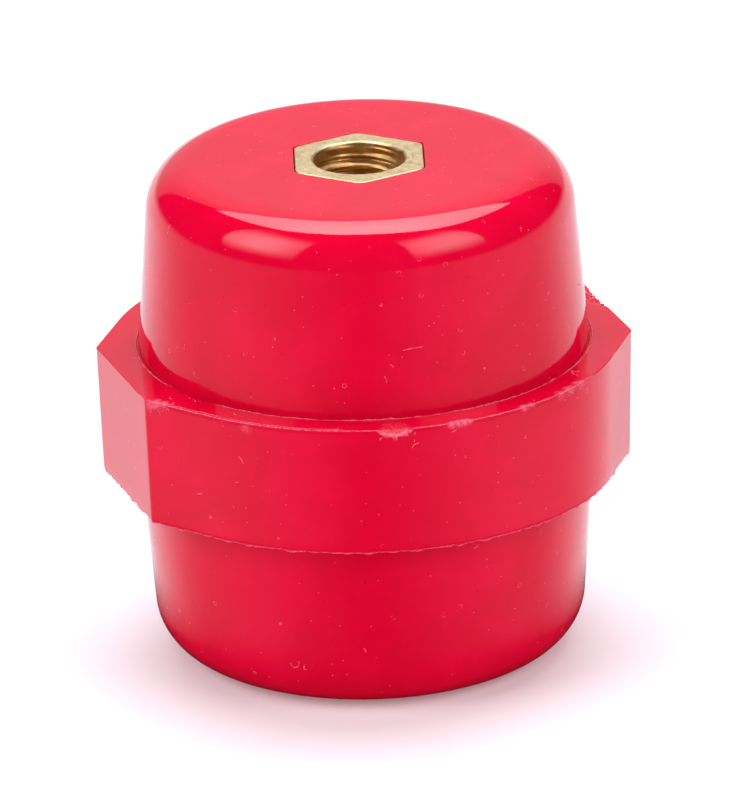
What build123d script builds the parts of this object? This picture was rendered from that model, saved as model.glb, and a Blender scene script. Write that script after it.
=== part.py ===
from build123d import *
import math
import os

# A low-voltage busbar standoff: one moulding of thermoset polyester compound with a threaded
# brass insert moulded into each end.  The axis of the part is +Z, the foot stands on z = 0 and
# the two spanner flats of the collar look along +X and -X.  Millimetres throughout.

# ---- the moulding -------------------------------------------------------------------------
height = 45.0
top_end_radius = 18.5         # sloping side carried on to the end face
foot_end_radius = 18.65
drum_draft = 4.4              # degrees, each drum narrows towards its own end
top_edge_radius = 4.5
foot_edge_radius = 4.8

# ---- the collar round the middle ----------------------------------------------------------
collar_foot = 16.6
collar_height = 11.5
collar_diameter = 45.0
flat_to_flat = 45.0
flat_width = 14.0
collar_draft = 1.5            # degrees, the collar narrows downwards from its upper edge
collar_corner_radius = 0.45
collar_lower_edge_radius = 0.3
collar_upper_edge_break = 0.15

# ---- the brass inserts --------------------------------------------------------------------
insert_across_flats = 11.4
insert_corner_radius = 1.0    # upright corners of the drawn hexagonal bar
insert_length = 16.0
insert_hex_turn = 12.7        # degrees from +X to the first corner of the hexagon
groove_radius = 5.0           # two turned grooves key each insert into the moulding
groove_width = 1.6
groove_depths = (5.0, 10.6)
tap_drill_diameter = 6.8      # M8 x 1.25
mouth_diameter = 8.4
bore_depth = 13.0
drill_point_angle = 118.0

collar_top = collar_foot + collar_height
slope = math.tan(math.radians(drum_draft))


def drum(end_radius, edge_radius):
    """Cone from the middle of the part up to an end face with a rounded edge."""
    edge_reach = edge_radius * math.tan(math.radians((90.0 - drum_draft) / 2))
    edge_start = (end_radius + edge_reach * math.sin(math.radians(drum_draft)),
                  height - edge_reach * math.cos(math.radians(drum_draft)))
    edge_end = (end_radius - edge_reach, height)
    middle_angle = math.radians((drum_draft + 90.0) / 2)
    edge_middle = (edge_end[0] + edge_radius * math.cos(middle_angle),
                   height - edge_radius + edge_radius * math.sin(middle_angle))
    root = (end_radius + height / 2 * slope, height / 2)
    with BuildPart() as cone:
        with BuildSketch(Plane.XZ):
            with BuildLine():
                Line((0, height / 2), (0, height))
                Line((0, height), edge_end)
                ThreePointArc(edge_end, edge_middle, edge_start)
                Line(edge_start, root)
                Line(root, (0, height / 2))
            make_face()
        revolve(axis=Axis.Z)
    return cone.part


def collar():
    """Round disc whose two opposite flats keep square corners proud of the round."""
    half_flat = flat_width / 2
    flat_x = flat_to_flat / 2
    radius = collar_diameter / 2
    run_out = 2 * math.atan2(half_flat, flat_x)
    touch = (radius * math.cos(run_out), radius * math.sin(run_out))
    with BuildPart() as disc:
        with BuildSketch(Plane.XY.offset(collar_top)):
            with BuildLine():
                Line((flat_x, -half_flat), (flat_x, half_flat))
                Line((flat_x, half_flat), touch)
                ThreePointArc(touch, (0, radius), (-touch[0], touch[1]))
                Line((-touch[0], touch[1]), (-flat_x, half_flat))
                Line((-flat_x, half_flat), (-flat_x, -half_flat))
                Line((-flat_x, -half_flat), (-touch[0], -touch[1]))
                ThreePointArc((-touch[0], -touch[1]), (0, -radius), (touch[0], -touch[1]))
                Line((touch[0], -touch[1]), (flat_x, -half_flat))
            make_face()
        extrude(amount=-collar_height)
        upright = disc.faces().filter_by(Axis.Z, reverse=True)
        draft(upright, Plane.XY.offset(collar_top), -collar_draft)
        corners = [e for e in disc.edges()
                   if abs(e.center().X) > flat_x - 1.0 and abs(e.length - collar_height) < 0.3]
        fillet(corners, collar_corner_radius)
        fillet(disc.faces().sort_by(Axis.Z)[0].outer_wire().edges(), collar_lower_edge_radius)
        chamfer(disc.faces().sort_by(Axis.Z)[-1].outer_wire().edges(), collar_upper_edge_break)
    return disc.part


def insert():
    """Hexagonal brass insert, its open face at the full height."""
    mouth_depth = (mouth_diameter - tap_drill_diameter) / 2
    point = tap_drill_diameter / 2 / math.tan(math.radians(drill_point_angle / 2))
    with BuildPart() as brass:
        with BuildSketch(Plane.XY.offset(height - insert_length)) as bar:
            RegularPolygon(radius=insert_across_flats / 2, side_count=6, major_radius=False,
                           rotation=insert_hex_turn)
            fillet(bar.vertices(), insert_corner_radius)
        extrude(amount=insert_length)
        for depth in groove_depths:
            with BuildSketch(Plane.XY.offset(height - depth - groove_width)):
                Circle(insert_across_flats)
                Circle(groove_radius, mode=Mode.SUBTRACT)
            extrude(amount=groove_width, mode=Mode.SUBTRACT)
        with BuildSketch(Plane.XZ):
            with BuildLine():
                Polyline((0, height), (mouth_diameter / 2, height),
                         (tap_drill_diameter / 2, height - mouth_depth),
                         (tap_drill_diameter / 2, height - bore_depth),
                         (0, height - bore_depth - point), (0, height))
            make_face()
        revolve(axis=Axis.Z, mode=Mode.SUBTRACT)
    return brass.part


def turned_over(solid):
    """The same solid on the lower half of the part."""
    return solid.mirror(Plane.XY.offset(height / 2))


top_insert = insert()
bottom_insert = turned_over(top_insert)
upper_drum = drum(top_end_radius, top_edge_radius)
lower_drum = turned_over(drum(foot_end_radius, foot_edge_radius))
body = upper_drum + lower_drum + collar() - top_insert - bottom_insert
# the core of each pocket is cleared too, because the insert cut from it above is bored
core = Pos(0, 0, height - insert_length / 2) * Cylinder(mouth_diameter / 2, insert_length)
body = body - core - turned_over(core)

os.makedirs("parts", exist_ok=True)
for name, solid in (("insulator_body", body),
                    ("top_threaded_insert", top_insert),
                    ("bottom_threaded_insert", bottom_insert)):
    export_step(solid.solids()[0], f"parts/{name}.step")
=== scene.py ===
import math

import bpy
import numpy as np
from mathutils import Matrix, Vector


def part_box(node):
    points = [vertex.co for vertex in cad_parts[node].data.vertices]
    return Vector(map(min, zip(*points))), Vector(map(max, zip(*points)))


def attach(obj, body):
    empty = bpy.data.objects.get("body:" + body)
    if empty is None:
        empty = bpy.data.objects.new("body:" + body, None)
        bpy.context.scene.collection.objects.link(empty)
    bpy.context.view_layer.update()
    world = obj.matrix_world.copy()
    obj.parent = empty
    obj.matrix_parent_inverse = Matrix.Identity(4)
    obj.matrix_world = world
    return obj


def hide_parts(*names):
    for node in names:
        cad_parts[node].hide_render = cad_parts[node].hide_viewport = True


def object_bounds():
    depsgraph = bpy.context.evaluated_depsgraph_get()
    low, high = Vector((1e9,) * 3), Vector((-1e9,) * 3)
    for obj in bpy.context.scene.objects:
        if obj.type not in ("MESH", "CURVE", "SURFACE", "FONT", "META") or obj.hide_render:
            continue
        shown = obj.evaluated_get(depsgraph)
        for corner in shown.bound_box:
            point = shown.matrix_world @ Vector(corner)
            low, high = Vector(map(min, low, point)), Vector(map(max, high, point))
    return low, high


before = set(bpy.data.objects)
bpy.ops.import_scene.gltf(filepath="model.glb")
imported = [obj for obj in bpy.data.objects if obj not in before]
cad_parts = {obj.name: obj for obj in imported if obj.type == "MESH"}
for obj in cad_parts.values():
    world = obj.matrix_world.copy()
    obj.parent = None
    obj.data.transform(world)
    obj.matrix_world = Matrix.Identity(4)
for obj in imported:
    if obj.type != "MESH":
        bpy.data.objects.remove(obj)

# A moulded busbar standoff with a threaded brass insert in each end.  Lengths in this script are
# millimetres where no comment says otherwise, and are turned into metres, the frame's unit, only
# where a mesh or an object is made.
# Angles round the part run from +X, the middle of one spanner flat of the collar.

cad_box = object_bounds()
MM = 0.001

body_low, body_high = (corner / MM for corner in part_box("insulator_body"))
insert_low, insert_high = (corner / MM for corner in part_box("top_threaded_insert"))
height = body_high.z - body_low.z
insert_length = insert_high.z - insert_low.z

# ---- the moulding, the same driving sizes as the CAD model --------------------------------
top_end_radius = 18.5
foot_end_radius = 18.65
drum_draft = math.radians(4.4)
top_edge_radius = 4.5
foot_edge_radius = 4.8
collar_foot = 16.6
collar_height = 11.5
collar_top = collar_foot + collar_height
collar_radius = 22.5
flat_width = 14.0
collar_draft = math.radians(1.5)
collar_corner = math.atan2(flat_width / 2, collar_radius)
corner_softness = 0.05        # rounds the upright corners
upper_edge_radius = 0.15
lower_edge_radius = 0.3
witness_radius = 20.05        # thin ring of flash round each drum's root
witness_depth = 0.18
missing_flash = (-165, -151)  # degrees, the stretch where that ring has broken away

# ---- the inserts --------------------------------------------------------------------------
across_flats = 11.4
hex_corner_radius = 1.0
hex_turn = math.radians(12.7)
groove_radius = 5.0
groove_width = 1.6
groove_depths = (5.0, 10.6)
thread_pitch = 1.25
thread_minor = 3.4
thread_major = 4.06
mouth_radius = 4.2
mouth_depth = 0.25            # countersink down to about the thread's outer diameter
relief_depth = 1.0            # the thread's crest starts below this
thread_depth = 12.0
bore_depth = 13.0
drill_half_angle = math.radians(59)
face_sink = 0.03              # the brass face lies this far below the moulding's
thread_start = math.radians(148)    # where the groove of the thread leaves the face
turning_pitch = 0.14
scratch_radius = 4.75

# ---- how finely the moulding is meshed ----------------------------------------------------
even_columns = 470
scarred_stretches = ((-107, -96), (-91, -84), (-2, 11))     # degrees
scarred_step = 0.31
speck_count = 170

dice = np.random.default_rng(45)


# ---- meshes made of rings -----------------------------------------------------------------

class Rings:
    """Rings round the axis, each a radius and a level at every angle, joined into one surface."""

    def __init__(self, turn):
        self.turn = turn
        self.radii = []
        self.levels = []
        self.names = []

    def add(self, radius, level, name=""):
        self.radii.append(np.broadcast_to(radius, self.turn.shape).astype(float))
        self.levels.append(np.broadcast_to(level, self.turn.shape).astype(float))
        self.names.append(name)

    def points(self):
        radius, level = np.array(self.radii), np.array(self.levels)
        return np.stack([radius * np.cos(self.turn), radius * np.sin(self.turn), level], axis=-1)


def ring_mesh(name, points, marks, extras=()):
    """A closed mesh from rings of points, capped at both ends, with extra closed shells beside it."""
    rows, columns = points.shape[:2]
    index = np.arange(rows * columns).reshape(rows, columns)
    after = np.roll(index, -1, axis=1)
    quads = np.stack([index[:-1], index[1:], after[1:], after[:-1]], axis=-1).reshape(-1, 4)
    first, last = rows * columns, rows * columns + 1
    caps = [(first, a, b) for a, b in zip(index[0].tolist(), after[0].tolist())]
    caps += [(last, b, a) for a, b in zip(index[-1].tolist(), after[-1].tolist())]
    ends = np.array([[0, 0, points[0, :, 2].mean()], [0, 0, points[-1, :, 2].mean()]])
    vertices = np.concatenate([points.reshape(-1, 3), ends])
    values = {key: np.concatenate([grid.reshape(-1), (0.0, 0.0)]) for key, grid in marks.items()}
    faces = quads.tolist() + caps
    for shell_points, shell_faces, shell_mark in extras:
        start = len(vertices)
        faces += [tuple(start + corner for corner in face) for face in shell_faces]
        vertices = np.concatenate([vertices, shell_points])
        for key in values:
            fill = 1.0 if key == shell_mark else 0.0
            values[key] = np.concatenate([values[key], np.full(len(shell_points), fill)])
    mesh = bpy.data.meshes.new(name)
    mesh.from_pydata((vertices * MM).tolist(), [], faces)
    for key, value in values.items():
        layer = mesh.attributes.new(key, "FLOAT", "POINT")
        layer.data.foreach_set("value", value.astype(np.float32))
    mesh.polygons.foreach_set("use_smooth", [True] * len(mesh.polygons))
    mesh.update()
    piece = bpy.data.objects.new(name, mesh)
    bpy.context.scene.collection.objects.link(piece)
    return piece


def hexagon(turn, in_radius):
    """Distance from the axis to the outline of the hexagon, whose corners are rounded."""
    sector = np.abs((turn - hex_turn) % (math.pi / 3) - math.pi / 6)
    centre = (in_radius - hex_corner_radius) / math.cos(math.pi / 6)
    off = math.pi / 6 - sector
    root = np.sqrt(np.maximum(hex_corner_radius ** 2 - (centre * np.sin(off)) ** 2, 0))
    rounding_start = math.atan2(centre * math.sin(math.pi / 6), in_radius)
    return np.where(sector > rounding_start, centre * np.cos(off) + root, in_radius / np.cos(sector))


def arc(start, end, count):
    """Evenly spaced angles in radians, from one angle in degrees to another."""
    return np.radians(np.linspace(start, end, count))


# ---- the moulding -------------------------------------------------------------------------

def body_turn():
    """Even angles, with closer ones at the collar's four upright corners and at the main scars."""
    even = np.linspace(-math.pi, math.pi, even_columns, endpoint=False)
    close = np.radians(np.linspace(-1.1, 1.1, 8))
    corners = (collar_corner, -collar_corner, math.pi - collar_corner, collar_corner - math.pi)
    at_corners = [corner + close for corner in corners]
    at_scars = [np.radians(np.arange(start, end, scarred_step)) for start, end in scarred_stretches]
    return np.unique(np.round(np.concatenate([even] + at_corners + at_scars), 6))


turn = body_turn()


def wander(finest, coarsest):
    """Seeded noise round the part, mostly within -1 to 1, with waves of those lengths in mm."""
    girth = 2 * math.pi * collar_radius
    waves = np.arange(int(girth / coarsest), int(girth / finest) + 1)
    size = dice.normal(size=waves.size) / np.sqrt(waves)
    phase = dice.uniform(0, 2 * math.pi, waves.size)
    total = (size[:, None] * np.cos(waves[:, None] * turn + phase[:, None])).sum(axis=0)
    return total / (2 * total.std())


def between(start, end, fade=3.0):
    """1 from one angle to another, in degrees, fading out over some degrees beyond them."""
    middle, half = math.radians((start + end) / 2), math.radians(abs(end - start) / 2)
    gap = np.abs((turn - middle + math.pi) % (2 * math.pi) - math.pi)
    return np.clip(1 - (gap - half) / math.radians(fade), 0, 1)


def outline(inset):
    """Distance from the axis to the collar's outline at each angle, set in by some millimetres."""
    fold = np.abs((turn + math.pi / 2) % math.pi - math.pi / 2)
    flat = (collar_radius - inset) / np.cos(fold)
    shoulder = (collar_radius - inset) / np.cos(fold - 2 * collar_corner)
    nearest = flat.min()
    blend = np.exp((nearest - flat) / corner_softness) + np.exp((nearest - shoulder) / corner_softness)
    corner = nearest - corner_softness * np.log(blend)
    return np.where(fold < 2 * collar_corner, corner, collar_radius - inset)


def pocket(rings):
    """Inside of the hexagonal pocket, with the ribs that fill the insert's grooves."""
    wall = hexagon(turn, across_flats / 2)
    rings.add(wall, height - insert_length)
    for depth in sorted(groove_depths, reverse=True):
        rings.add(wall, height - depth - groove_width)
        rings.add(groove_radius, height - depth - groove_width)
        rings.add(groove_radius, height - depth)
        rings.add(wall, height - depth)
    ragged = 0.03 * wander(0.7, 6.0) + 0.03
    rings.add(wall + 0.02, height - 0.5)
    rings.add(wall + ragged, height - 0.12)
    rings.add(wall + ragged + 0.01, height - 0.03)
    rings.add(wall + ragged + 0.05, height)


def drum(rings, end_radius, edge_radius, collar_face_z, rounding_steps):
    """End face, rounding and sloping side down to the collar, from the pocket outwards."""
    lean = math.tan(drum_draft)
    reach = edge_radius * math.tan((math.pi / 2 - drum_draft) / 2)
    face_radius = end_radius - reach
    wall = hexagon(turn, across_flats / 2)
    for share in (0.06, 0.2, 0.45, 0.75, 1.0):
        rings.add(wall + 0.1 + share * (8.2 - wall), height)
    for radius in (9.6, 11.2, 12.6, face_radius - 0.3):
        rings.add(radius, height)
    for angle in arc(0, 90 - math.degrees(drum_draft), rounding_steps):
        drop = edge_radius * (1 - math.cos(angle))
        rings.add(face_radius + edge_radius * math.sin(angle), height - drop)
    side_start = height - edge_radius * (1 - math.sin(drum_draft))
    side_levels = np.linspace(side_start, collar_face_z + 0.15, 9)[1:].tolist()
    for level in side_levels + [collar_face_z + 0.03, collar_face_z - witness_depth]:
        rings.add(end_radius + (height - level) * lean, level)


def witness(rings, collar_face_z, strength):
    """The fine groove round the drum's root and the thin ridge of flash outside it."""
    ragged = 0.02 * wander(1.2, 12.0)
    whole = 1 - between(*missing_flash, 3)
    rise = strength * np.clip(0.07 + 0.07 * wander(0.8, 14.0), 0.0, 0.16) * whole
    rings.add(witness_radius - 0.05 + ragged, collar_face_z - witness_depth)
    rings.add(witness_radius - 0.03 + ragged, collar_face_z - 0.02 + 0.5 * rise, "ridge")
    rings.add(witness_radius + 0.01 + ragged, collar_face_z + rise, "ridge")
    rings.add(witness_radius + 0.05 + ragged, collar_face_z + 0.4 * rise, "ridge")
    rings.add(witness_radius + 0.07 + ragged, collar_face_z)
    rings.add(witness_radius + 0.11 + ragged, collar_face_z)


def collar_face(rings, collar_face_z, inset):
    """Flat ring from the flash round the drum out to the collar's edge."""
    inner = witness_radius + 0.15
    for share in (0.1, 0.25, 0.45, 0.65, 0.8, 0.92):
        rings.add(inner + share * (outline(inset) - inner), collar_face_z)


def upper_edge(rings):
    """The collar's upper edge, where the two halves of the mould meet and leave a double bead."""
    bead = between(-159, -116, 6) * (0.5 + 0.3 * wander(1.5, 12.0))
    bead += between(-112, -50, 6) * np.clip(0.2 + 0.5 * wander(0.7, 10.0), 0, 1)
    bead = np.clip(bead + between(30, 170, 8) * np.clip(0.3 * wander(0.8, 10.0), 0, 1), 0, 1)
    rings.add(outline(0.45), collar_top)
    rings.add(outline(0.36), collar_top + 0.03 * bead)
    rings.add(outline(0.29), collar_top + 0.09 * bead, "inner_bead")
    rings.add(outline(0.22), collar_top + 0.02 * bead)
    for angle in arc(0, 90, 5):
        swell = 0.05 * bead * math.cos(angle)
        inset = upper_edge_radius * (1 - math.sin(angle)) - 0.02
        drop = upper_edge_radius * (1 - math.cos(angle))
        crest = 0.2 < angle < 1.0
        rings.add(outline(inset - swell), collar_top - drop + swell, "edge_bead" if crest else "")
    rings.add(outline(0.0), collar_top - 0.25)
    rings.add(outline(0.02), collar_top - 0.36)


def collar_side(rings):
    """The upright side, which narrows downwards; its rings are closest near the upper edge."""
    slope = math.tan(collar_draft)
    for drop in (0.5, 0.75, 1.1, 1.6, 2.4, 3.6, 5.2, 6.8, 8.4, 9.5, 10.2):
        rings.add(outline(slope * drop), collar_top - drop)


def lower_edge(rings):
    """Rounded lower edge with a wavy fin of flash hanging from it."""
    slope = math.tan(collar_draft)
    fin = np.clip(0.45 + 0.4 * wander(1.0, 9.0) + 0.25 * wander(0.5, 2.0), 0, 1.3)
    start = slope * (collar_height - lower_edge_radius)
    for angle in arc(0, 90, 9):
        inset = start + lower_edge_radius * (1 - math.cos(angle))
        level = collar_foot + lower_edge_radius * (1 - math.sin(angle))
        peak = math.exp(-((math.degrees(angle) - 50) / 14) ** 2)
        ring_name = "fin" if peak > 0.3 else ""
        rings.add(outline(inset - 0.07 * fin * peak), level - 0.27 * fin * peak, ring_name)


def half_body(rings, end_radius, edge_radius, collar_face_z, inset, rounding_steps, strength):
    """One end of the moulding, from its pocket's floor out to the edge of the collar."""
    pocket(rings)
    drum(rings, end_radius, edge_radius, collar_face_z, rounding_steps)
    witness(rings, collar_face_z, strength)
    collar_face(rings, collar_face_z, inset)


def body_rings():
    """All rings, from the floor of the upper pocket round the outside to that of the lower one."""
    rings = Rings(turn)
    half_body(rings, top_end_radius, top_edge_radius, collar_top, 0.45, 20, 1.0)
    upper_edge(rings)
    collar_side(rings)
    lower_edge(rings)
    below = Rings(turn)
    half_body(below, foot_end_radius, foot_edge_radius, height - collar_foot, 0.9, 16, 0.7)
    for radius, level, name in zip(below.radii[::-1], below.levels[::-1], below.names[::-1]):
        rings.add(radius, height - level, name)
    return rings


# Marks on the collar: angle, distance from the axis, level, reach, depth (a bump is negative),
# how ragged it is and how pale.
scars = [
    (-160.3, 23.3, collar_top, 0.80, 0.14, 0.9, 0.9),     # bruised upright corner
    (-159.8, 23.0, collar_top - 0.2, 0.40, -0.12, 0.4, 1.0),
    (-158.0, 22.8, collar_top - 0.1, 0.40, -0.10, 0.4, 1.0),
    (-161.6, 23.2, collar_top - 0.4, 0.45, -0.06, 0.6, 0.9),
    (-89.0, 22.45, collar_top - 0.05, 0.45, -0.08, 0.3, 0.9),    # lump of flash along the edge
    (-87.6, 22.45, collar_top, 0.50, -0.12, 0.3, 1.0),
    (-86.2, 22.45, collar_top, 0.50, -0.14, 0.3, 1.0),
    (-85.0, 22.45, collar_top, 0.40, -0.08, 0.3, 0.9),
    (-70.5, 22.4, collar_top, 0.45, -0.06, 0.6, 0.7),     # two smaller lumps
    (-68.4, 22.4, collar_top, 0.35, -0.05, 0.6, 0.6),
    (-59.0, 22.4, collar_top, 0.55, 0.07, 1.0, 0.6),      # rough patches where flash broke away
    (-55.6, 22.4, collar_top, 0.65, 0.09, 1.0, 0.8),
    (-51.5, 22.4, collar_top, 0.60, 0.09, 1.0, 0.8),
    (-136.0, 22.5, collar_top - 0.5, 0.45, 0.02, 0.8, 0.5),    # scuff below the edge
    (8.5, 22.4, collar_top, 0.90, 0.34, 1.0, 0.1),        # nicks in the far flat's edge
    (5.0, 22.4, collar_top, 0.90, 0.42, 1.0, 0.2),
    (1.5, 22.5, collar_top, 0.80, 0.40, 1.0, 0.3),
    (-1.0, 22.5, collar_top, 0.50, 0.22, 1.0, 0.3),
    (128.0, 22.4, collar_top, 0.70, 0.10, 0.9, 0.5),      # two chips at the back
    (74.0, 22.4, collar_top, 0.60, 0.08, 0.9, 0.5),
]

# scar in the collar's upper face where a broad piece of flash broke off
fan_middle = -101.9
fan_half_width = 4.1
fan_tip_radius = 20.8
fan_dip = 0.62                # how far its lip curves down the collar's side
lip_height = 0.16


def scar(points, pale, broken):
    """Presses each mark into the points, or raises it, and notes how pale and broken they get."""
    grain = dice.uniform(-1, 1, points.shape[:2])
    for degrees, radius, level, reach, depth, ragged, tone in scars:
        angle = math.radians(degrees)
        centre = np.array([radius * math.cos(angle), radius * math.sin(angle), level])
        gap = np.linalg.norm(points - centre, axis=-1) / reach
        share = np.clip(1.15 - gap + 0.3 * ragged * grain, 0, 1) * (gap < 1.2)
        outwards = points.copy()
        outwards[..., 2] = 0
        outwards /= np.maximum(np.linalg.norm(outwards, axis=-1, keepdims=True), 1e-6)
        outwards[..., 2] = 1.0
        points -= outwards * (share * depth * (1 + 0.5 * ragged * grain))[..., None] / math.sqrt(2)
        pale[:] = np.maximum(pale, np.clip(share * 1.5, 0, 1) * tone * (0.5 if ragged > 0.7 else 1.0))
        broken[:] = np.maximum(broken, np.clip(share * 2.0, 0, 1) * tone * ragged)


def fan_scar(points, pale, broken):
    """Shallow conchoidal scar that fans out to the collar's edge and curves down to a pale lip."""
    grain = dice.uniform(-1, 1, points.shape[:2])
    reach = np.hypot(points[..., 0], points[..., 1])
    aside = (np.degrees(turn)[None, :] - fan_middle) / fan_half_width
    spread = np.clip((reach - fan_tip_radius) / (collar_radius - fan_tip_radius), 0, 1)
    inside = np.clip((0.45 + 0.6 * np.sqrt(spread) - np.abs(aside)) * 4, 0, 1)
    inside *= (spread > 0.02) * (np.abs(points[..., 2] - collar_top) < 1.2)
    ribs = 0.5 + 0.5 * np.sin(aside * 13 + 3 * spread)
    bowl = np.clip(1 - aside ** 2, 0, 1) * (0.12 * spread + (fan_dip - 0.12) * spread ** 8)
    floor_level = collar_top - inside * (0.02 + bowl + 0.02 * ribs + 0.01 * grain)
    cut = (points[..., 2] > floor_level) * inside
    lip = (points[..., 2] > floor_level - lip_height) * inside * (spread > 0.93)
    points[..., 2] -= np.where(inside > 0, np.maximum(points[..., 2] - floor_level, 0), 0)
    broken[:] = np.maximum(broken, 0.45 * cut)
    pale[:] = np.where(inside > 0.3, np.clip(lip, 0, 0.95) * (0.9 + 0.1 * grain), pale)


# ---- fibres and specks in the moulding's skin ---------------------------------------------

def skin(degrees, level):
    """Point on the outside of the moulding at an angle and a level, and the normal there."""
    lean = drum_draft
    angle = facing = math.radians(degrees)
    if level > collar_top:
        radius = top_end_radius + (height - level) * math.tan(lean)
    elif level < collar_foot:
        radius, lean = foot_end_radius + level * math.tan(lean), -lean
    else:
        lean = -collar_draft
        fold = (angle + math.pi / 2) % math.pi - math.pi / 2
        if abs(fold) < collar_corner:
            facing = angle - fold
        elif abs(fold) < 2 * collar_corner:
            facing = angle - fold + math.copysign(2 * collar_corner, fold)
        radius = collar_radius - (collar_top - level) * math.tan(collar_draft)
        radius /= math.cos(angle - facing)
    normal = (math.cos(facing) * math.cos(lean), math.sin(facing) * math.cos(lean), math.sin(lean))
    return np.array([radius * math.cos(angle), radius * math.sin(angle), level]), np.array(normal)


def upper_skin(degrees, radius):
    """Point on the collar's upper face, and its normal."""
    angle = math.radians(degrees)
    place = np.array([radius * math.cos(angle), radius * math.sin(angle), collar_top])
    return place, np.array([0.0, 0.0, 1.0])


def thread_of_fibre(spot, length, heading, curl, thickness=0.045):
    """A short curved fibre lying half sunk in the skin: a thin tube with pointed ends."""
    centre, normal = spot
    along = np.array([-centre[1], centre[0], 0]) / math.hypot(centre[0], centre[1])
    up = np.cross(normal, along)
    steps, sides = 9, 5
    run = np.linspace(-0.5, 0.5, steps) * length
    direction = math.radians(heading) + curl * run + 1.3 * curl * np.sin(2.3 * run / length + heading)
    path = np.cumsum(np.stack([np.cos(direction), np.sin(direction)]) * length / steps, axis=1)
    path -= path.mean(axis=1, keepdims=True)
    points = []
    for i in range(steps):
        middle = centre + path[0, i] * along + path[1, i] * up
        if normal[2] < 0.9:
            middle[:2] *= math.hypot(centre[0], centre[1]) / math.hypot(middle[0], middle[1])
        girth = thickness * math.sin(math.pi * (i + 0.5) / steps) ** 0.4
        across = -math.sin(direction[i]) * along + math.cos(direction[i]) * up
        for k in range(sides):
            around = 2 * math.pi * k / sides
            points.append(middle + girth * (math.cos(around) * across + math.sin(around) * normal))
    faces = []
    for i in range(steps - 1):
        for k in range(sides):
            here, beside = i * sides + k, i * sides + (k + 1) % sides
            faces.append((here, beside, beside + sides, here + sides))
    faces.append(tuple(range(sides))[::-1])
    faces.append(tuple((steps - 1) * sides + k for k in range(sides)))
    return np.array(points), faces, "pale"


def speck(spot, size):
    """A grain of filler standing a little out of the skin."""
    centre, normal = spot
    corners = np.array([(1, 0, 0), (-1, 0, 0), (0, 1, 0), (0, -1, 0), (0, 0, 1), (0, 0, -1)], float)
    corners *= dice.uniform(0.6, 1.2, (6, 1)) * size
    faces = [(0, 2, 4), (2, 1, 4), (1, 3, 4), (3, 0, 4), (2, 0, 5), (1, 2, 5), (3, 1, 5), (0, 3, 5)]
    return centre - 0.3 * size * normal + corners, faces, "pale"


# angle, level, length, heading of the middle in degrees, curl in radians per millimetre
fibres = [
    (-95.7, 34.2, 2.0, 3, 0.25), (-131.7, 34.9, 0.5, -40, 0.8), (-103.0, 31.6, 0.9, 20, 1.2),
    (-101.3, 32.8, 0.5, -60, 1.0), (-156.7, 30.1, 1.5, 5, 0.9), (-161.4, 32.2, 0.7, 85, 0.5),
    (-137.4, 24.6, 1.0, -60, 0.5), (-138.7, 22.4, 0.5, 80, 0.9), (-149.1, 20.5, 1.0, 40, -0.6),
    (-97.6, 26.5, 0.9, 60, 1.0), (-70.5, 25.3, 0.7, 100, 1.4), (-80.2, 15.1, 0.8, -55, 1.2),
    (-129.0, 4.6, 1.9, 25, 0.9), (-126.5, 4.4, 0.8, -20, 1.2), (-110.2, 6.3, 0.6, -15, 1.0),
    (-64.3, 17.9, 0.3, 40, 0.5), (-140.0, 20.0, 0.4, 70, 0.8),
    (-105.2, 27.3, 0.35, 60, 0.2), (-97.6, 27.6, 0.3, 80, 0.2), (-97.7, 26.9, 0.3, 85, 0.3),
    (-88.4, 27.5, 1.5, 30, 4.2), (-158.4, 27.5, 1.3, 10, 3.6), (-160.2, 27.3, 0.9, 60, 3.0),
    (-156.9, 27.7, 0.8, 20, 2.5),
    (35.0, 33.0, 1.4, 15, 0.8), (82.0, 24.0, 1.0, 50, -0.9), (120.0, 36.0, 1.2, -30, 0.7),
    (150.0, 8.0, 1.5, 10, 0.9), (-30.0, 34.0, 0.9, 70, 0.9), (60.0, 9.0, 0.8, -10, 1.0),
]
# angle, distance from the axis, length, heading, curl: on the collar's upper face
face_fibres = [
    (-46.8, 20.6, 1.3, 60, 0.9), (-45.8, 20.8, 0.8, -20, 0.6), (-48.0, 21.2, 0.5, 100, 0.9),
    (-141.0, 21.0, 0.6, 30, 1.1), (-160.0, 21.6, 0.8, -50, 0.8), (100.0, 21.2, 1.1, 20, 0.9),
    (-160.6, 22.7, 1.1, 20, 3.2), (-158.6, 22.5, 0.9, -30, 3.0), (-157.0, 22.3, 0.8, 10, 2.0),
]
# angle, distance from the axis, size: crumbs where the ring of flash is missing
crumbs = [
    (-156.6, 20.5, 0.11), (-155.5, 20.35, 0.08), (-154.3, 20.55, 0.10), (-153.2, 20.4, 0.09),
    (-158.0, 20.4, 0.06), (-152.4, 20.6, 0.06),
]


def shells():
    """Small closed meshes that go with the moulding: fibres, scattered specks and crumbs."""
    made = [thread_of_fibre(skin(angle, level), *bend) for angle, level, *bend in fibres]
    made += [thread_of_fibre(upper_skin(angle, radius), *bend) for angle, radius, *bend in face_fibres]
    for _ in range(speck_count):
        angle, level = dice.uniform(-180, 180), dice.uniform(5.5, 39)
        size = dice.uniform(0.03, 0.085)
        if abs(level - collar_top) > 0.8 and abs(level - collar_foot) > 0.8:
            made.append(speck(skin(angle, level), size))
    made += [speck(upper_skin(angle, radius), size) for angle, radius, size in crumbs]
    return made


# ---- node helpers -------------------------------------------------------------------------

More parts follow.
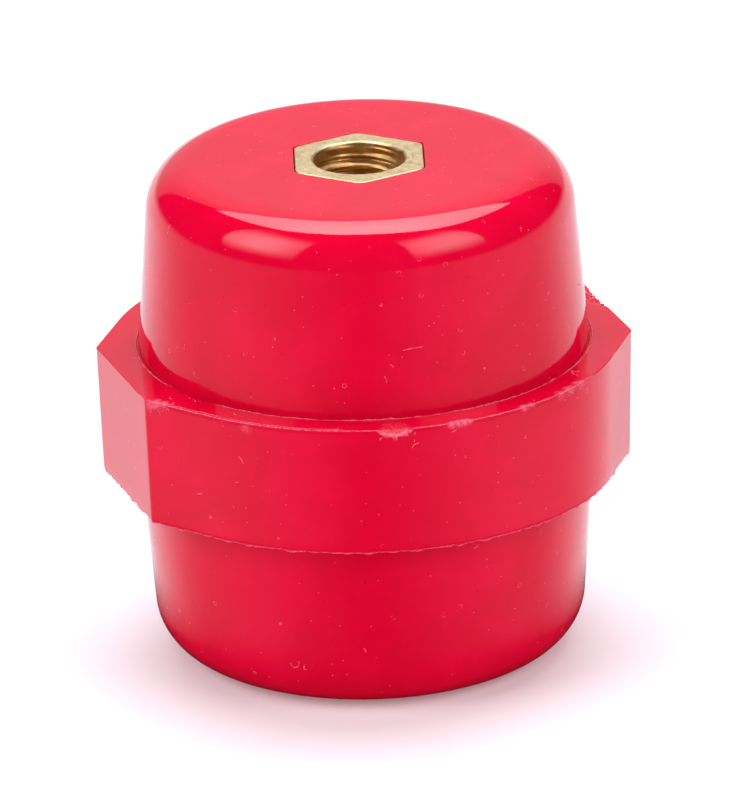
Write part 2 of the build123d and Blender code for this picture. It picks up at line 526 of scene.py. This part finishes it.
class Tree:
    """Short names for building a node tree."""

    def __init__(self, tree):
        self.tree = tree
        tree.nodes.clear()

    def node(self, kind, **settings):
        made = self.tree.nodes.new(kind)
        for key, value in settings.items():
            setattr(made, key, value)
        return made

    def join(self, source, target):
        """Links a socket to an input, or sets the input where the source is a plain value."""
        if isinstance(source, (int, float, tuple)):
            target.default_value = source
        else:
            self.tree.links.new(source, target)

    def math(self, operation, *values, clamp=False):
        made = self.node("ShaderNodeMath", operation=operation, use_clamp=clamp)
        for value, socket in zip(values, made.inputs):
            self.join(value, socket)
        return made.outputs[0]

    def ramp(self, value, low, high, out_low=0.0, out_high=1.0):
        """value from low to high becomes out_low to out_high, eased at both ends."""
        made = self.node("ShaderNodeMapRange", interpolation_type="SMOOTHSTEP")
        for socket, given in zip(made.inputs, (value, low, high, out_low, out_high)):
            self.join(given, socket)
        return made.outputs[0]

    def mix(self, share, first, second):
        """The first colour where share is 0 and the second where it is 1."""
        made = self.node("ShaderNodeMix", data_type="RGBA")
        self.join(share, made.inputs[0])
        self.join(first, made.inputs[6])
        self.join(second, made.inputs[7])
        return made.outputs[2]

    def noise(self, where, size, detail=2.0, roughness=0.5, distortion=0.0):
        """Noise whose features are about size millimetres across."""
        made = self.node("ShaderNodeTexNoise")
        self.join(where, made.inputs["Vector"])
        made.inputs["Scale"].default_value = 1 / (size * MM)
        made.inputs["Detail"].default_value = detail
        made.inputs["Roughness"].default_value = roughness
        made.inputs["Distortion"].default_value = distortion
        return made.outputs[0]

    def specks(self, where, spacing, radius):
        """1 in small dots: the points of a random lattice that lie within radius of the surface."""
        made = self.node("ShaderNodeTexVoronoi")
        self.join(where, made.inputs["Vector"])
        made.inputs["Scale"].default_value = 1 / (spacing * MM)
        return self.ramp(made.outputs["Distance"], 0.6 * radius / spacing, radius / spacing, 1.0, 0.0)

    def loops(self, where, spacing, radius, thickness):
        """1 along small circles: where the surface cuts spheres round a random lattice's points."""
        made = self.node("ShaderNodeTexVoronoi")
        self.join(where, made.inputs["Vector"])
        made.inputs["Scale"].default_value = 1 / (spacing * MM)
        off = self.math("ABSOLUTE", self.math("SUBTRACT", made.outputs["Distance"], radius / spacing))
        return self.ramp(off, 0.4 * thickness / spacing, thickness / spacing, 1.0, 0.0)

    def mark(self, name):
        """A value that the mesh carries at each point."""
        return self.node("ShaderNodeAttribute", attribute_name=name).outputs["Fac"]

    def bump(self, height_value, distance, normal=None):
        """Bump whose full swing of the value is distance millimetres high."""
        made = self.node("ShaderNodeBump")
        made.inputs["Strength"].default_value = 1.0
        made.inputs["Distance"].default_value = distance * MM
        self.join(height_value, made.inputs["Height"])
        if normal is not None:
            self.join(normal, made.inputs["Normal"])
        return made.outputs[0]


def new_material(name):
    """A material with a principled shader, and what its makers need: where is the object's place."""
    material = bpy.data.materials.new(name)
    material.use_nodes = True
    tree = Tree(material.node_tree)
    shader = tree.node("ShaderNodeBsdfPrincipled")
    output = tree.node("ShaderNodeOutputMaterial")
    tree.join(shader.outputs[0], output.inputs[0])
    where = tree.node("ShaderNodeTexCoord").outputs["Object"]
    return material, tree, shader, where, output


def moulding_material():
    """Glossy red moulding compound: cloudy colour, specks, faint flow marks, pale flash and scars."""
    material, tree, shader, where, _ = new_material("red_moulding_compound")
    pale = tree.mark("pale")
    broken = tree.mark("broken")

    def tint(colour, share, strength, tone):
        """The colour, turned towards a tone where share is high."""
        return tree.mix(tree.math("MULTIPLY", share, strength), colour, tone)

    cloud = tree.ramp(tree.noise(where, 9.0, 4.0, 0.6, 0.6), 0.35, 0.7)
    colour = tree.mix(cloud, (0.62, 0.0010, 0.025, 1), (0.69, 0.0016, 0.034, 1))
    mottle = tree.ramp(tree.noise(where, 0.9, 4.0, 0.75), 0.3, 0.7)
    colour = tint(colour, mottle, 0.16, (0.52, 0.0008, 0.02, 1))
    colour = tint(colour, tree.specks(where, 1.7, 0.11), 0.6, (0.30, 0.0005, 0.01, 1))
    colour = tint(colour, tree.specks(where, 1.2, 0.08), 0.5, (0.90, 0.20, 0.26, 1))
    flecks = tree.ramp(tree.noise(where, 0.22, 3.0, 0.7), 0.38, 0.58, 0.2, 1.0)
    paleness = tree.math("MULTIPLY", pale, flecks, clamp=True)
    colour = tree.mix(paleness, colour, (0.95, 0.17, 0.26, 1))
    shards = tree.ramp(tree.noise(where, 0.16, 2.0, 0.6, 1.5), 0.52, 0.60)
    colour = tint(colour, tree.math("MULTIPLY", shards, broken), 0.8, (0.95, 0.16, 0.25, 1))
    curls = tree.loops(where, 2.4, 0.2, 0.028)
    curls = tree.math("MULTIPLY", curls, tree.ramp(tree.noise(where, 0.5), 0.45, 0.6))
    colour = tint(colour, curls, 0.55, (0.92, 0.20, 0.28, 1))
    tree.join(colour, shader.inputs["Base Color"])

    gloss = tree.ramp(tree.noise(where, 3.0, 4.0, 0.6), 0.3, 0.7, 0.035, 0.07)
    tree.join(tree.math("ADD", gloss, tree.math("MULTIPLY", pale, 0.28)), shader.inputs["Roughness"])
    slow = tree.bump(tree.noise(where, 4.5, 2.0, 0.5), 0.010)
    fine = tree.bump(tree.noise(where, 0.4, 3.0, 0.6), 0.0016, slow)
    torn = tree.math("MAXIMUM", pale, broken)
    rough = tree.math("MULTIPLY", tree.noise(where, 0.18, 3.0, 0.7), torn)
    tree.join(tree.bump(rough, 0.14, fine), shader.inputs["Normal"])
    return material


def brass_material():
    """Machined brass: satin face with turning marks and a scratch, browner bore."""
    material, tree, shader, where, _ = new_material("machined_brass")
    shader.inputs["Metallic"].default_value = 1.0
    bore = tree.mark("bore")
    face_part = tree.math("SUBTRACT", 1.0, bore)
    cloud = tree.ramp(tree.noise(where, 1.3, 4.0, 0.65), 0.3, 0.7)
    face = tree.mix(cloud, (0.84, 0.62, 0.33, 1), (0.98, 0.79, 0.48, 1))
    inside = tree.mix(cloud, (0.58, 0.31, 0.10, 1), (0.80, 0.50, 0.20, 1))
    grains = tree.ramp(tree.noise(where, 0.25, 3.0, 0.7), 0.45, 0.65, 0.0, 0.35)
    colour = tree.mix(grains, tree.mix(bore, face, inside), (0.50, 0.33, 0.15, 1))
    tree.join(colour, shader.inputs["Base Color"])
    gloss = tree.ramp(tree.noise(where, 0.5, 3.0, 0.6), 0.3, 0.7, 0.30, 0.50)
    tree.join(gloss, shader.inputs["Roughness"])
    split = tree.node("ShaderNodeSeparateXYZ")
    tree.join(where, split.inputs[0])
    x, y = split.outputs[:2]
    squares = tree.math("ADD", tree.math("MULTIPLY", x, x), tree.math("MULTIPLY", y, y))
    reach = tree.math("SQRT", squares)
    turning = tree.math("SINE", tree.math("MULTIPLY", reach, 2 * math.pi / (turning_pitch * MM)))
    turning = tree.math("MULTIPLY", turning, face_part)
    off_line = tree.math("ABSOLUTE", tree.math("SUBTRACT", reach, scratch_radius * MM))
    line = tree.ramp(off_line, 0.02 * MM, 0.06 * MM, 1.0, 0.0)
    bearing = tree.math("ARCTAN2", y, x)
    line = tree.math("MULTIPLY", line, tree.ramp(tree.math("ABSOLUTE", bearing), 0.5, 0.9, -1.0, 0.0))
    grain = tree.bump(tree.noise(where, 0.2, 3.0, 0.7), 0.016)
    marks = tree.bump(turning, 0.0012, grain)
    tree.join(tree.bump(line, 0.03, marks), shader.inputs["Normal"])
    return material


# ---- the pieces ---------------------------------------------------------------------------

def make_body(material):
    """The moulding, with marks on its flash and scars that its material turns pale and rough."""
    rings = body_rings()
    points = rings.points()
    names = np.array(rings.names)
    pale = np.zeros(points.shape[:2])
    fleck = 0.55 + 0.45 * wander(0.5, 5.0)
    unbroken = np.clip(0.75 + 0.8 * wander(1.5, 18.0) - between(*missing_flash, 3), 0, 1)
    along_edge = between(-162, -50, 5) * (0.5 + 0.5 * fleck)
    along_edge += 0.2 * fleck - 0.35 * between(-117, -107, 3)
    pale[names == "ridge"] = 0.95 * unbroken
    pale[names == "edge_bead"] = 0.9 * np.clip(along_edge, 0, 1)
    pale[names == "inner_bead"] = 0.8 * between(-159, -117, 4)
    pale[names == "fin"] = np.clip(0.6 + 0.5 * fleck, 0, 1)
    broken = np.zeros(points.shape[:2])
    fan_scar(points, pale, broken)
    scar(points, pale, broken)
    low, high = np.array(cad_box[0]) / MM, np.array(cad_box[1]) / MM
    points = np.clip(points, low, high)
    body = ring_mesh("insulator_body_moulding", points, {"pale": pale, "broken": broken}, shells())
    body.data.materials.append(material)
    return body


def make_insert(name, material, turned_over):
    """Hexagonal insert with two turned grooves and a right-hand M8 thread."""
    around = hex_turn + np.linspace(0, 2 * math.pi, 192, endpoint=False)
    rings = Rings(around)
    tip = bore_depth + thread_minor / math.tan(drill_half_angle)
    rings.add(0.25, height - tip + 0.25 / math.tan(drill_half_angle), "bore")
    rings.add(thread_minor - 0.3, height - bore_depth - 0.18, "bore")
    rings.add(thread_minor, height - bore_depth, "bore")
    for depth in np.arange(thread_depth + 0.6, -0.001, -0.1):
        phase = (0.5 - depth / thread_pitch - (around - thread_start) / (2 * math.pi)) % 1.0
        shape = np.clip((0.75 - np.abs(phase - 0.5) * 2) / 0.625, 0, 1)
        fade = min(1.0, max(0.0, (thread_depth - depth) / thread_pitch))
        flank = thread_minor + (thread_major - thread_minor) * shape * fade
        sunk = mouth_radius - 0.02 - min(depth, mouth_depth)
        relief = sunk - 1.2 * max(depth - relief_depth, 0.0)
        ring_name = "bore" if depth > 0.15 else ""
        rings.add(np.maximum(flank, relief), height - max(depth, 0.03) - face_sink, ring_name)
    rings.add(mouth_radius + 0.01, height - 0.01 - face_sink)
    rings.add(mouth_radius + 0.04, height - face_sink)
    edge = hexagon(around, across_flats / 2)
    for share in (0.05, 0.3, 0.6, 0.85):
        rings.add(mouth_radius + 0.04 + share * (edge - mouth_radius - 0.04), height - face_sink)
    rings.add(edge - 0.15, height - face_sink)
    rings.add(edge - 0.10, height - face_sink - 0.02)
    rings.add(edge - 0.09, height - face_sink - 0.4)
    rings.add(edge, height - face_sink - 0.6)
    for depth in groove_depths:
        rings.add(edge, height - depth)
        rings.add(groove_radius, height - depth)
        rings.add(groove_radius, height - depth - groove_width)
        rings.add(edge, height - depth - groove_width)
    rings.add(edge, height - insert_length + 0.1)
    rings.add(edge - 0.1, height - insert_length)
    points = rings.points()
    if turned_over:
        flip = Matrix.Translation((0, 0, height)) @ Matrix.Rotation(
            math.pi, 4, Vector((math.cos(hex_turn), math.sin(hex_turn), 0)))
        turned = np.array(flip)
        points = points @ turned[:3, :3].T + turned[:3, 3]
    bore = np.zeros(points.shape[:2])
    bore[np.array(rings.names) == "bore"] = 1.0
    insert = ring_mesh(name, points, {"bore": bore})
    insert.data.materials.append(material)
    return insert


# ---- floor, light and camera --------------------------------------------------------------

view_turn = math.radians(-18.3)
view_rise = math.radians(21.15)
view_roll = math.radians(1.55)
view_distance = 1108.0
view_lens = 566.3
aim_drop = 0.25               # the camera looks this far below the middle of the part

floor_reach = 6.0             # metres from the axis to each side
floor_drop = 0.02             # keeps the floor and the foot out of one plane

# name, bearing from straight behind the part and rise above the horizon in degrees, power in watts
fills = [("front_fill", 180, 25, 2.25), ("left_fill", -110, 30, 1.65), ("right_fill", 110, 30, 1.5)]
fill_width = 0.7              # metres
fill_distance = 0.9           # metres


def make_camera():
    """Long lens, from the left of the near side and above, tipped a little about its own axis."""
    back = Vector((math.sin(view_turn) * math.cos(view_rise),
                   -math.cos(view_turn) * math.cos(view_rise),
                   math.sin(view_rise)))
    right = back.cross(Vector((0, 0, -1))).normalized()
    up = back.cross(right)
    rolled = right * math.cos(view_roll) - up * math.sin(view_roll)
    data = bpy.data.cameras.new("camera")
    data.lens = view_lens
    data.sensor_width = 36
    data.clip_end = 50
    camera = bpy.data.objects.new("camera", data)
    bpy.context.scene.collection.objects.link(camera)
    place = Vector((0, 0, height / 2 - aim_drop)) + back * view_distance
    axes = Matrix((rolled, back.cross(rolled), back)).transposed()
    camera.matrix_world = Matrix.Translation(place * MM) @ axes.to_4x4()
    bpy.context.scene.camera = camera


def floor_material():
    """White with a faint bluish tint and a pink glow, both painted red bounce light from the part.  In
    the gloss a painted shadow lies beneath the part and gives way to the room further out.
    """
    material, tree, shader, where, output = new_material("white_floor")
    tone = tree.noise(where, 60.0, 2.0, 0.5)
    # Faint bluish tint: painted red bounce light, not the floor's own colour.
    bounce_tinted_white = tree.mix(tone, (0.72, 0.705, 0.735, 1), (0.74, 0.725, 0.755, 1))
    tree.join(bounce_tinted_white, shader.inputs["Base Color"])
    shader.inputs["Roughness"].default_value = 0.6
    # Pink glow over the whole floor: painted red bounce light from the part.
    shader.inputs["Emission Color"].default_value = (1.0, 0.76, 0.80, 1)
    shader.inputs["Emission Strength"].default_value = 0.2
    # Painted shadow: glossy rays near the axis see near black in place of the floor's shade beneath
    # the part.
    distance = tree.node("ShaderNodeVectorMath", operation="LENGTH")
    tree.join(where, distance.inputs[0])
    shadow = tree.node("ShaderNodeBsdfDiffuse")
    shadow.inputs["Color"].default_value = (0.04, 0.02, 0.02, 1)
    mirrored = tree.node("ShaderNodeMixShader")
    tree.join(tree.ramp(distance.outputs["Value"], 20 * MM, 32 * MM), mirrored.inputs[0])
    tree.join(shadow.outputs[0], mirrored.inputs[1])
    tree.join(tree.node("ShaderNodeBsdfTransparent").outputs[0], mirrored.inputs[2])
    mixed = tree.node("ShaderNodeMixShader")
    tree.join(tree.node("ShaderNodeLightPath").outputs["Is Glossy Ray"], mixed.inputs[0])
    tree.join(shader.outputs[0], mixed.inputs[1])
    tree.join(mirrored.outputs[0], mixed.inputs[2])
    tree.join(mixed.outputs[0], output.inputs[0])
    return material


def make_floor():
    """Flat and wide enough to fill the view."""
    mesh = bpy.data.meshes.new("floor")
    signs = ((-1, -1), (1, -1), (1, 1), (-1, 1))
    corners = [(x * floor_reach, y * floor_reach, -floor_drop * MM) for x, y in signs]
    mesh.from_pydata(corners, [], [(0, 1, 2, 3)])
    mesh.materials.append(floor_material())
    floor = bpy.data.objects.new("floor", mesh)
    bpy.context.scene.collection.objects.link(floor)


def back_wall(tree, rise, aside, ceiling_y):
    """Pale wall behind the part, up to where the overhead box begins."""
    wall = tree.math("MULTIPLY", tree.ramp(rise, 0.5, 4.5), tree.ramp(ceiling_y, 0.77, 0.79))
    wall = tree.math("MULTIPLY", wall, tree.ramp(aside, 34.0, 36.0, 1.0, 0.0))
    wall = tree.math("MULTIPLY", wall, tree.ramp(aside, 16.0, 36.0, 1.0, 0.65))
    return tree.math("MULTIPLY", wall, tree.ramp(rise, 22.0, 44.0, 0.6, 0.9))


def overhead_box(tree, rise, ceiling_x, ceiling_y):
    """Big soft box overhead.  Its near edge is bowed, and it is brightest straight up."""
    bow = tree.math("ABSOLUTE", tree.math("SUBTRACT", ceiling_x, 0.065))
    front = tree.math("MULTIPLY", tree.math("POWER", bow, 2.0), 0.56)
    front = tree.math("ADD", front, tree.math("MULTIPLY", tree.math("POWER", bow, 5.0), 3.1))
    box = tree.ramp(tree.math("SUBTRACT", ceiling_y, front), -0.075, -0.045)
    box = tree.math("MULTIPLY", box, tree.ramp(ceiling_y, 0.77, 0.79, 1.0, 0.0))
    return tree.math("MULTIPLY", box, tree.ramp(rise, 50.0, 84.0, 4.5, 8.2))


def side_box(tree, rise, bearing, aside, inner_edge, lean, outer_edge, centre, width, strength):
    """Soft box to one side: its inner edge leans, and it is brightest at its centre."""
    above = tree.math("SUBTRACT", rise, 26.0)
    leaning_edge = tree.math("SUBTRACT", inner_edge, tree.math("MULTIPLY", above, lean))
    off = tree.math("DIVIDE", tree.math("SUBTRACT", bearing, centre), width)
    glow = tree.math("EXPONENT", tree.math("MULTIPLY", tree.math("POWER", off, 2.0), -1.0))
    past_inner = tree.ramp(tree.math("SUBTRACT", aside, leaning_edge), -1.2, 1.2)
    short_of_outer = tree.ramp(tree.math("SUBTRACT", outer_edge, aside), -1.5, 1.5)
    same_side = tree.math("GREATER_THAN", tree.math("MULTIPLY", bearing, centre), 0.0)
    box = tree.math("MULTIPLY", past_inner, short_of_outer)
    box = tree.math("MULTIPLY", tree.math("MULTIPLY", box, same_side), glow)
    box = tree.math("MULTIPLY", box, tree.ramp(rise, 15.0, 37.0))
    box = tree.math("MULTIPLY", box, tree.ramp(rise, 49.0, 67.0, 1.0, 0.0))
    return tree.math("MULTIPLY", box, strength)


def low_band(tree, rise, aside):
    """Dim band below the horizon, behind the part and to both sides."""
    behind = tree.ramp(aside, 30.0, 85.0, 0.8, 0.0)
    sides = tree.ramp(aside, 100.0, 182.0, 0.6, 0.02)
    upper = tree.ramp(rise, -34.0, -25.0, 0.0, 0.78)
    lower = tree.ramp(rise, -64.0, -34.0, 0.0, 0.22)
    band = tree.math("MULTIPLY", tree.math("ADD", behind, sides), tree.math("ADD", upper, lower))
    return tree.math("MULTIPLY", band, tree.ramp(rise, -4.0, 5.0, 1.0, 0.0))


def make_room():
    """Light from all round.  Angles are in degrees, bearings from straight behind the part."""
    world = bpy.data.worlds.new("studio")
    bpy.context.scene.world = world
    world.use_nodes = True
    tree = Tree(world.node_tree)
    way = tree.node("ShaderNodeVectorRotate", rotation_type="Z_AXIS")
    tree.join(tree.node("ShaderNodeTexCoord").outputs["Generated"], way.inputs["Vector"])
    way.inputs["Angle"].default_value = -view_turn
    split = tree.node("ShaderNodeSeparateXYZ")
    tree.join(way.outputs[0], split.inputs[0])
    x, y, z = split.outputs
    rise = tree.math("MULTIPLY", tree.math("ARCSINE", z), 180 / math.pi)
    bearing = tree.math("MULTIPLY", tree.math("ARCTAN2", x, y), 180 / math.pi)
    aside = tree.math("ABSOLUTE", bearing)
    above_floor = tree.math("MAXIMUM", z, 0.05)
    ceiling_x = tree.math("DIVIDE", x, above_floor)
    ceiling_y = tree.math("DIVIDE", y, above_floor)

    lights = (back_wall(tree, rise, aside, ceiling_y),
              overhead_box(tree, rise, ceiling_x, ceiling_y),
              side_box(tree, rise, bearing, aside, 95.0, 0.48, 142.0, -113.0, 28.0, 5.2),
              side_box(tree, rise, bearing, aside, 107.0, 0.23, 151.0, 124.0, 31.0, 4.2),
              low_band(tree, rise, aside))
    total = lights[0]
    for light in lights[1:]:
        total = tree.math("ADD", total, light)
    seen = tree.node("ShaderNodeLightPath").outputs["Is Camera Ray"]
    unseen = tree.math("SUBTRACT", 1.0, seen)
    strength = tree.math("ADD", tree.math("MULTIPLY", unseen, total), seen)
    shader = tree.node("ShaderNodeBackground")
    shader.inputs["Color"].default_value = (0.79, 0.80, 0.84, 1)
    tree.join(strength, shader.inputs["Strength"])
    tree.join(shader.outputs[0], tree.node("ShaderNodeOutputWorld").inputs[0])


def make_fills():
    """Three broad dim lights that don't show in the gloss."""
    for name, bearing, rise, power in fills:
        data = bpy.data.lights.new(name, "AREA")
        data.shape = "DISK"
        data.size = fill_width
        data.energy = power
        light = bpy.data.objects.new(name, data)
        turned = math.pi / 2 - math.radians(bearing) + view_turn
        lifted = math.radians(rise)
        way = Vector((math.cos(turned) * math.cos(lifted),
                      math.sin(turned) * math.cos(lifted),
                      math.sin(lifted)))
        aim = way.to_track_quat("Z", "Y").to_matrix().to_4x4()
        light.matrix_world = Matrix.Translation(way * fill_distance) @ aim
        light.visible_glossy = False
        bpy.context.scene.collection.objects.link(light)


# ---- the scene ----------------------------------------------------------------------------

moulding = moulding_material()
brass = brass_material()
body = make_body(moulding)
top_insert = make_insert("top_insert_threaded", brass, False)
bottom_insert = make_insert("bottom_insert_threaded", brass, True)
for piece, node, slot in ((body, "insulator_body", "moulding_compound"),
                          (top_insert, "top_threaded_insert", "insert_brass"),
                          (bottom_insert, "bottom_threaded_insert", "insert_brass")):
    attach(piece, "root")
    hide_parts(node)

make_camera()
make_floor()
make_room()
make_fills()
bpy.context.scene.view_settings.view_transform = "Standard"
